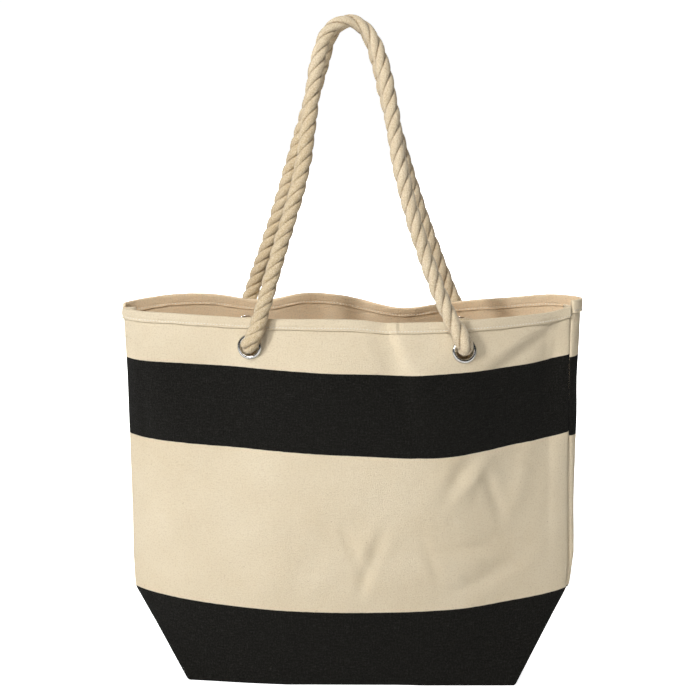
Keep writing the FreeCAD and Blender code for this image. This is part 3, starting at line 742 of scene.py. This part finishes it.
def make_hem(name, outwards):
    """The folded strip along a panel's top edge."""
    first, last = seams_at(np.array(RIM), outwards)
    lengths = np.arange(float(first) + 0.0008, float(last) - 0.0008, 0.00111)
    section = np.array(HEM_SECTION) / 1000
    pucker = 0.00028 * np.cos(2 * math.pi * lengths / STITCH_PITCH)
    sway = 0.00035 * np.sin(lengths * 47 + outwards) + 0.0002 * np.sin(lengths * 131)
    rows = []
    for off, down in section:
        at_stitches = math.exp(-((down + 0.0096) / 0.002) ** 2)
        below_stitches = down < -0.009
        lift = off + (pucker if off > 0 else -pucker) * at_stitches
        lift = lift + 0.00012 * np.sin(lengths * 260 + down * 900)
        rows.append(canvas_point(lengths, RIM + down + below_stitches * sway, outwards, lift))
    points = np.stack(rows, 1)
    count = len(section)
    faces, corner_rows, corner_columns = grid_faces(len(lengths), count, closed=True)
    faces = faces[:, ::-1]
    around = np.concatenate([[0], np.cumsum(np.linalg.norm(np.diff(section, axis=0), axis=1))])
    around = np.append(around, around[-1] + np.linalg.norm(section[0] - section[-1]))
    uv = np.stack([lengths[corner_rows], around[corner_columns]], -1)[:, ::-1]
    ends = [list(range(count)), list(range((len(lengths) - 1) * count, len(lengths) * count))[::-1]]
    uv = np.concatenate([uv.reshape(-1, 2), np.zeros((2 * count, 2))])
    hem = new_piece(name, points.reshape(-1, 3), faces.tolist() + ends, natural_canvas, uv)
    hem.data.materials.append(inside_canvas_painted_bounce)
    turned_in = (section[corner_columns % count, 0] < 0).all(1)
    hem.data.polygons.foreach_set("material_index", np.append(turned_in, [0, 0]).astype(np.int32))
    return hem


for side, outwards in (("front", -1), ("back", 1)):
    hem = make_hem(f"{side}_hem", outwards)
    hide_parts(f"{side}_rim_binding")
    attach(hem, "bag")

# ---- side and corner seams ---------------------------------------------------------------------
# Inside the bag both panels' edges are turned in together as an allowance that stands off the seam. It
# runs from the rim down each side and down the boxed corner to the base, where a second, shorter one
# closes the corner along the base's short side.

ALLOWANCE = 0.010
STRIP_WAVES, STRIP_SWAY = 23, 0.0008   # how often, in radians, and how far a strip waves along its length
CORNER_POINTS = 60


def make_strip(name, spine, inward, sideways, wide, thick, material):
    """A doubled strip that stands off a line: wide along inward and thick along sideways."""
    loop = [(0, -0.5), (0.3, -0.5), (0.6, -0.5), (0.9, -0.48), (1.0, -0.2),
            (1.0, 0.2), (0.9, 0.48), (0.6, 0.5), (0.3, 0.5), (0, 0.5)]
    wave = np.sin(np.linspace(0, STRIP_WAVES, len(spine)))
    points = np.stack([spine + inward * (reach * wide)
                       + sideways * (half * thick + wave * STRIP_SWAY * reach)[:, None]
                       for reach, half in loop], 1)
    faces, corner_rows, corner_columns = grid_faces(len(spine), len(loop), closed=True)
    uv = np.stack([corner_rows * 0.004, corner_columns * 0.003], -1)
    count = len(loop)
    ends = [list(range(count))[::-1], list(range((len(spine) - 1) * count, len(spine) * count))]
    uv = np.concatenate([uv.reshape(-1, 2), np.zeros((2 * count, 2))])
    return new_piece(name, points.reshape(-1, 3), faces.tolist() + ends, material, uv)


seam_spines = {}
for hand, sign in (("left", -1), ("right", 1)):
    heights = np.linspace(RIM - 0.001, CREASE, 110)
    first, last = seams_at(heights, -1)
    lengths = first if sign < 0 else last
    wall = canvas_point(lengths, heights, -1)
    inwards = -outward(lengths, heights)
    inwards[:, 2] = 0
    inwards = unit(inwards)
    foot = np.array([sign * BASE_REACH, 0.0, 0.0])
    fall = np.linspace(1, 0.09, 34)[1:, None]
    spine = np.concatenate([wall, foot + fall * (wall[-1] - foot)])
    slope = unit(wall[-1] - foot)
    below = np.cross(slope, (0, sign, 0))
    below = below if below[0] * sign < 0 else -below
    inward = np.concatenate([inwards, np.repeat(below[None], 33, 0)])
    sideways = np.zeros_like(spine)
    sideways[:, 1] = sign
    spine = spine + inward * 0.0014
    bulk = np.where(np.arange(len(spine)) < 4, 0.0046, 0.0024)
    seam = make_strip(f"{hand}_seam_allowance", spine, inward, sideways, ALLOWANCE, bulk, natural_canvas)
    seam_spines[hand] = (spine, inward, sideways)
    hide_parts(f"{hand}_side_seam")
    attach(seam, "bag")
    corner_line = np.stack([np.full(CORNER_POINTS, sign * (BASE_REACH - 0.0062)),
                            np.linspace(-1, 1, CORNER_POINTS) * 0.068, np.full(CORNER_POINTS, 0.0040)], 1)
    flat = np.tile([-sign, 0.0, 0.0], (CORNER_POINTS, 1))
    corner_up = np.tile([0.0, 0.0, float(sign)], (CORNER_POINTS, 1))
    corner = make_strip(f"{hand}_corner_allowance", corner_line, flat, corner_up, ALLOWANCE, 0.0023,
                        natural_canvas)
    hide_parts(f"{hand}_corner_seam")
    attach(corner, "bag")

# ---- eyelets and washers -----------------------------------------------------------------------
# Each rope hole is lined with a nickel-plated eyelet: a domed ring outside, a barrel through the canvas
# and a rolled end that clenches a flat washer inside.

EYELET_SECTION = [
    (8.4, -3.4), (8.4, 0.6), (8.7, 1.7), (9.5, 2.5), (10.7, 2.8), (11.9, 2.3), (12.8, 1.3),
    (13.2, 0.35), (12.9, 0.12), (12.2, 0.12), (11.2, 0.5), (10.0, 0.6), (9.3, 0.2), (9.2, -2.6),
    (9.6, -2.8), (10.6, -2.9), (10.8, -3.4), (10.2, -3.8), (9.2, -4.0), (8.6, -3.9),
]
WASHER_SECTION = [
    (9.5, -1.45), (12.0, -1.30), (12.5, -1.55), (12.4, -2.05), (11.6, -2.45), (9.6, -2.65),
    (9.4, -2.0),
]


def make_ring(name, section, spot, material):
    """A ring turned about an eyelet's axis from a section of radius and height in millimetres."""
    outline = np.array(section) / 1000
    for _ in range(2):
        after = np.roll(outline, -1, axis=0)
        outline = np.stack([0.75 * outline + 0.25 * after, 0.25 * outline + 0.75 * after], 1).reshape(-1, 2)
    place, axis = EYELETS[spot]
    flat = unit(np.cross(axis, (0, 0, 1.0)))
    up = np.cross(flat, axis)
    around = np.linspace(0, 2 * math.pi, 72, endpoint=False)
    spoke = np.cos(around)[:, None] * flat + np.sin(around)[:, None] * up
    points = place + outline[:, 0][:, None, None] * spoke[None] + outline[:, 1][:, None, None] * axis
    faces = grid_faces(len(outline) + 1, len(around), closed=True)[0] % (len(outline) * len(around))
    return new_piece(name, points.reshape(-1, 3), faces, material)


def make_metal_material():
    """Bright nickel plate with fine handling marks."""
    material, tree, shader = new_material("eyelet_nickel", 0.16, Metallic=1.0)
    place = add_node(tree, "ShaderNodeTexCoord", {}).outputs["Object"]
    marks = noise(tree, place, 900, 3, 0.6)
    cloudy = noise(tree, place, 120, 2)
    colour = mix_colour(tree, cloudy, (0.58, 0.565, 0.535, 1), (0.72, 0.705, 0.67, 1))
    tree.links.new(colour, shader.inputs["Base Color"])
    rubbed = add_node(tree, "ShaderNodeMapRange", {"Value": marks, "To Min": 0.10, "To Max": 0.28})
    tree.links.new(rubbed.outputs[0], shader.inputs["Roughness"])
    add_bump(tree, shader, marks, 0.00002)
    return material


eyelet_nickel = make_metal_material()
for spot in EYELETS:
    for part, section in (("eyelet", EYELET_SECTION), ("washer", WASHER_SECTION)):
        ring = make_ring(f"{spot}_{part}_ring", section, spot, eyelet_nickel)
        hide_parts(f"{spot}_{part}")
        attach(ring, "bag")

# ---- stopper knots -----------------------------------------------------------------------------
# Inside the bag each end of a rope is tied in an overhand knot, pulled tight against the washer, and its
# cut tail hangs down.

KNOT_SCALE = 0.80         # of the rope's thickness, pulled tight in the knot
KNOT_UNIT = 0.0128        # length that the numbers of the knot's route are given in
KNOT_ROUTE = [
    (0, 0, 0.05), (0, 0, 0.5), (0, 0.1, 1.4), (0.1, 0, 2.3), (0.9, 0, 2.6), (1.45, 0.4, 1.8),
    (1.2, 1.1, 0.9), (0, 1.35, 0.75), (-1.1, 0.9, 0.8), (-1.35, -0.2, 0.95), (-0.8, -1.15, 1.15),
    (0.3, -1.15, 1.5), (0.75, -0.35, 1.6), (0.7, 0.6, 1.75), (0.45, 1.4, 2.1), (0.3, 2.1, 2.3),
    (0.25, 3.3, 2.2),
]
for spot, (place, axis) in EYELETS.items():
    inward = -axis
    down = unit(np.array([0, 0, -1.0]) + inward * inward[2])
    across = np.cross(down, inward)
    knot_line = [place + inward * 0.002 + KNOT_UNIT * (p * across + q * down + a * inward)
                 for p, q, a in KNOT_ROUTE]
    knot, _ = laid_rope(f"{spot}_stopper", drawn_line(knot_line), cotton_rope, scale=KNOT_SCALE,
                        lay_length=(0.040, 0.040))
    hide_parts(f"{spot}_knot")
    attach(knot, "bag")

# ---- stitches ----------------------------------------------------------------------------------
# Undyed cotton lockstitch: one row round each hem, with finer stitches on the inside, and an overlock
# row that covers the raw edge of each side allowance.


def make_thread_material():
    """Undyed sewing thread, paler than the canvas, with its twist."""
    material, tree, shader = new_material("sewing_thread", 0.75, Sheen_Weight=0.2)
    place = add_node(tree, "ShaderNodeTexCoord", {}).outputs["Object"]
    twist = noise(tree, place, 3000, 2)
    colour = mix_colour(tree, twist, (0.80, 0.73, 0.60, 1), (0.95, 0.92, 0.84, 1))
    tree.links.new(colour, shader.inputs["Base Color"])
    add_bump(tree, shader, twist, 0.0001)
    return material


sewing_thread = make_thread_material()


def make_stitch_tree():
    """Lays a stitch at even steps along an edge line, flat on the cloth."""
    tree = bpy.data.node_groups.new("stitch_row", "GeometryNodeTree")
    face = tree.interface
    face.new_socket("Geometry", in_out="INPUT", socket_type="NodeSocketGeometry")
    for name, value in (("Pitch", STITCH_PITCH), ("Stitch length", 0.0022), ("Stitch width", 0.0008),
                        ("Slant", 0.0), ("Unevenness", 0.12)):
        face.new_socket(name, in_out="INPUT", socket_type="NodeSocketFloat").default_value = value
    face.new_socket("Seed", in_out="INPUT", socket_type="NodeSocketInt").default_value = 7
    face.new_socket("Thread", in_out="INPUT", socket_type="NodeSocketMaterial")
    face.new_socket("Geometry", in_out="OUTPUT", socket_type="NodeSocketGeometry")
    given = tree.nodes.new("NodeGroupInput").outputs
    line = add_node(tree, "GeometryNodeMeshToCurve", {0: given["Geometry"]}).outputs[0]
    even = add_node(tree, "GeometryNodeResampleCurve", {"Curve": line, "Length": given["Pitch"]},
                    mode="LENGTH")
    tangent = add_node(tree, "GeometryNodeInputTangent", {}).outputs[0]
    cloth = add_node(tree, "GeometryNodeInputNamedAttribute", {"Name": "cloth_normal"},
                     data_type="FLOAT_VECTOR")
    turned = add_node(tree, "FunctionNodeAxesToRotation",
                      {"Primary Axis": cloth.outputs[0], "Secondary Axis": tangent},
                      primary_axis="Z", secondary_axis="X").outputs[0]
    slant = add_node(tree, "ShaderNodeCombineXYZ", {2: given["Slant"]}).outputs[0]
    tipped = add_node(tree, "FunctionNodeRotateRotation",
                      {0: turned, 1: add_node(tree, "FunctionNodeEulerToRotation", {0: slant}).outputs[0]},
                      rotation_space="LOCAL").outputs[0]
    points = add_node(tree, "GeometryNodeCurveToPoints", {"Curve": even.outputs[0]}, mode="EVALUATED")
    bead = add_node(tree, "GeometryNodeMeshUVSphere", {"Segments": 8, "Rings": 5, "Radius": 0.5}).outputs[0]
    thick = calc(tree, "MULTIPLY", given["Stitch width"], 0.75)
    size = add_node(tree, "ShaderNodeCombineXYZ", {0: given["Stitch length"], 1: given["Stitch width"],
                                                   2: thick}).outputs[0]
    uneven = add_node(tree, "FunctionNodeRandomValue", {"Seed": given["Seed"]}, data_type="FLOAT")
    off_even = calc(tree, "SUBTRACT", uneven.outputs[1], 0.5)
    uneven_out = calc(tree, "MULTIPLY_ADD", off_even, given["Unevenness"], 1.0)
    sized = add_node(tree, "ShaderNodeVectorMath", {0: size, 3: uneven_out}, operation="SCALE").outputs[0]
    laid = add_node(tree, "GeometryNodeInstanceOnPoints", {"Points": points.outputs[0], "Instance": bead,
                                                          "Rotation": tipped, "Scale": sized}).outputs[0]
    real = add_node(tree, "GeometryNodeRealizeInstances", {0: laid}).outputs[0]
    soft = add_node(tree, "GeometryNodeSetShadeSmooth", {0: real}).outputs[0]
    done = add_node(tree, "GeometryNodeSetMaterial",
                    {"Geometry": soft, "Material": given["Thread"]}).outputs[0]
    add_node(tree, "NodeGroupOutput", {0: done})
    return tree


stitch_row = make_stitch_tree()


def sew(name, rows, **inputs):
    """One piece of stitches along rows of points, each with the cloth's direction at every point."""
    points, normals, edges = [], [], []
    for line, facing in rows:
        start = sum(map(len, points))
        edges += [(start + i, start + i + 1) for i in range(len(line) - 1)]
        points.append(line)
        normals.append(facing)
    mesh = bpy.data.meshes.new(name)
    mesh.from_pydata(np.concatenate(points).tolist(), edges, [])
    mesh.attributes.new("cloth_normal", "FLOAT_VECTOR", "POINT").data.foreach_set(
        "vector", np.concatenate(normals).astype(np.float32).ravel())
    piece = bpy.data.objects.new(name, mesh)
    bpy.context.scene.collection.objects.link(piece)
    nodes = piece.modifiers.new("stitches", "NODES")
    nodes.node_group = stitch_row
    given = {item.name: item.identifier for item in stitch_row.interface.items_tree
             if item.in_out == "INPUT"}
    for socket, value in {"Thread": sewing_thread, **inputs}.items():
        nodes[given[socket]] = value
    made_plain(piece)
    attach(piece, "bag")


for side, outwards in (("front", -1), ("back", 1)):
    first, last = seams_at(np.array(RIM), outwards)
    lengths = np.arange(float(first) + 0.003, float(last) - 0.003, 0.0011)
    facing = outward(lengths, STITCH_HEIGHT)
    outside = canvas_point(lengths, STITCH_HEIGHT, outwards, 0.00150)
    inside = canvas_point(lengths, STITCH_HEIGHT, outwards, -0.0018)
    sew(f"{side}_hem_stitches", [(outside, facing)])
    sew(f"{side}_hem_stitches_inside", [(inside, -facing)],
        **{"Stitch length": 0.0018, "Stitch width": 0.0008})

for hand, (spine, inward, sideways) in seam_spines.items():
    raw = spine + inward * (ALLOWANCE - 0.0016)
    wave = (np.sin(np.linspace(0, STRIP_WAVES, len(spine))) * STRIP_SWAY)[:, None] * sideways
    rows = [(raw[5:] + wave[5:] + sideways[5:] * sign * 0.00125, sideways[5:] * sign)
            for sign in (1, -1)]
    sew(f"{hand}_overlock", rows, **{"Pitch": 0.0019, "Stitch length": 0.0036, "Slant": 1.15, "Seed": 3})

# ---- floor and lights --------------------------------------------------------------------------
# A plain white sweep under and behind the bag. The key light is on the left in front, with one high in
# front and a weak one low in front to soften it. A large one behind lights the back.


def make_floor():
    """A white floor that curves up into a backdrop."""
    curve = [(6.0 + 3.0 * math.sin(a), 3.0 - 3.0 * math.cos(a))
             for a in np.linspace(0.1, math.pi / 2, 12)]
    profile = [(-1.5, 0.0), (6.0, 0.0), *curve, (9.0, 9.0)]
    points = [(x, y, z - 0.0003) for x in (-12.0, 12.0) for y, z in profile]
    count = len(profile)
    faces = [(i, count + i, count + i + 1, i + 1) for i in range(count - 1)]
    material, tree, shader = new_material("white_sweep", 0.95, Specular_IOR_Level=0.0)
    shader.inputs["Base Color"].default_value = (0.93, 0.93, 0.93, 1)
    shader.inputs["Emission Color"].default_value = (1, 1, 1, 1)
    seen = add_node(tree, "ShaderNodeLightPath", {}).outputs["Is Camera Ray"]
    tree.links.new(calc(tree, "MULTIPLY", seen, 0.95), shader.inputs["Emission Strength"])
    return new_piece("floor", points, faces, material)


make_floor()


def add_light(name, place, aim, size, power, colour=(1, 1, 1)):
    """A square soft light that faces a point."""
    lamp = bpy.data.lights.new(name, "AREA")
    lamp.shape = "SQUARE"
    lamp.size = size
    lamp.energy = power
    lamp.color = colour
    light = bpy.data.objects.new(name, lamp)
    light.location = place
    back = unit(np.array(place, float) - np.array(aim, float))
    flat = math.hypot(back[0], back[1])
    light.rotation_euler = (math.atan2(flat, back[2]), 0, math.atan2(back[0], -back[1]))
    bpy.context.scene.collection.objects.link(light)


add_light("key", (-1.65, -1.95, 1.7), (0, 0, 0.33), 0.4, 56, (1.0, 1.0, 1.01))
add_light("high_front", (-0.5, -1.9, 2.5), (0, 0, 0.33), 0.5, 35, (1.0, 1.0, 1.01))
add_light("front_fill", (-0.5, -3.4, 1.3), (0, 0, 0.3), 1.2, 6, (1.0, 1.0, 1.01))
add_light("back_fill", (0.8, 2.8, 1.7), (0, 0, 0.3), 1.2, 110)
world = bpy.data.worlds.new("studio")
bpy.context.scene.world = world
world.use_nodes = True
sky = world.node_tree
behind = sky.nodes["Background"]
behind.inputs["Color"].default_value = (1, 1, 1, 1)
behind.inputs["Strength"].default_value = 0.05
seen = add_node(sky, "ShaderNodeBackground", {"Color": (1, 1, 1, 1), "Strength": 1.0})
to_camera = add_node(sky, "ShaderNodeLightPath", {}).outputs["Is Camera Ray"]
chosen = add_node(sky, "ShaderNodeMixShader", {0: to_camera, 1: behind.outputs[0], 2: seen.outputs[0]})
sky.links.new(chosen.outputs[0], sky.nodes["World Output"].inputs["Surface"])
bpy.context.scene.view_settings.view_transform = "Standard"
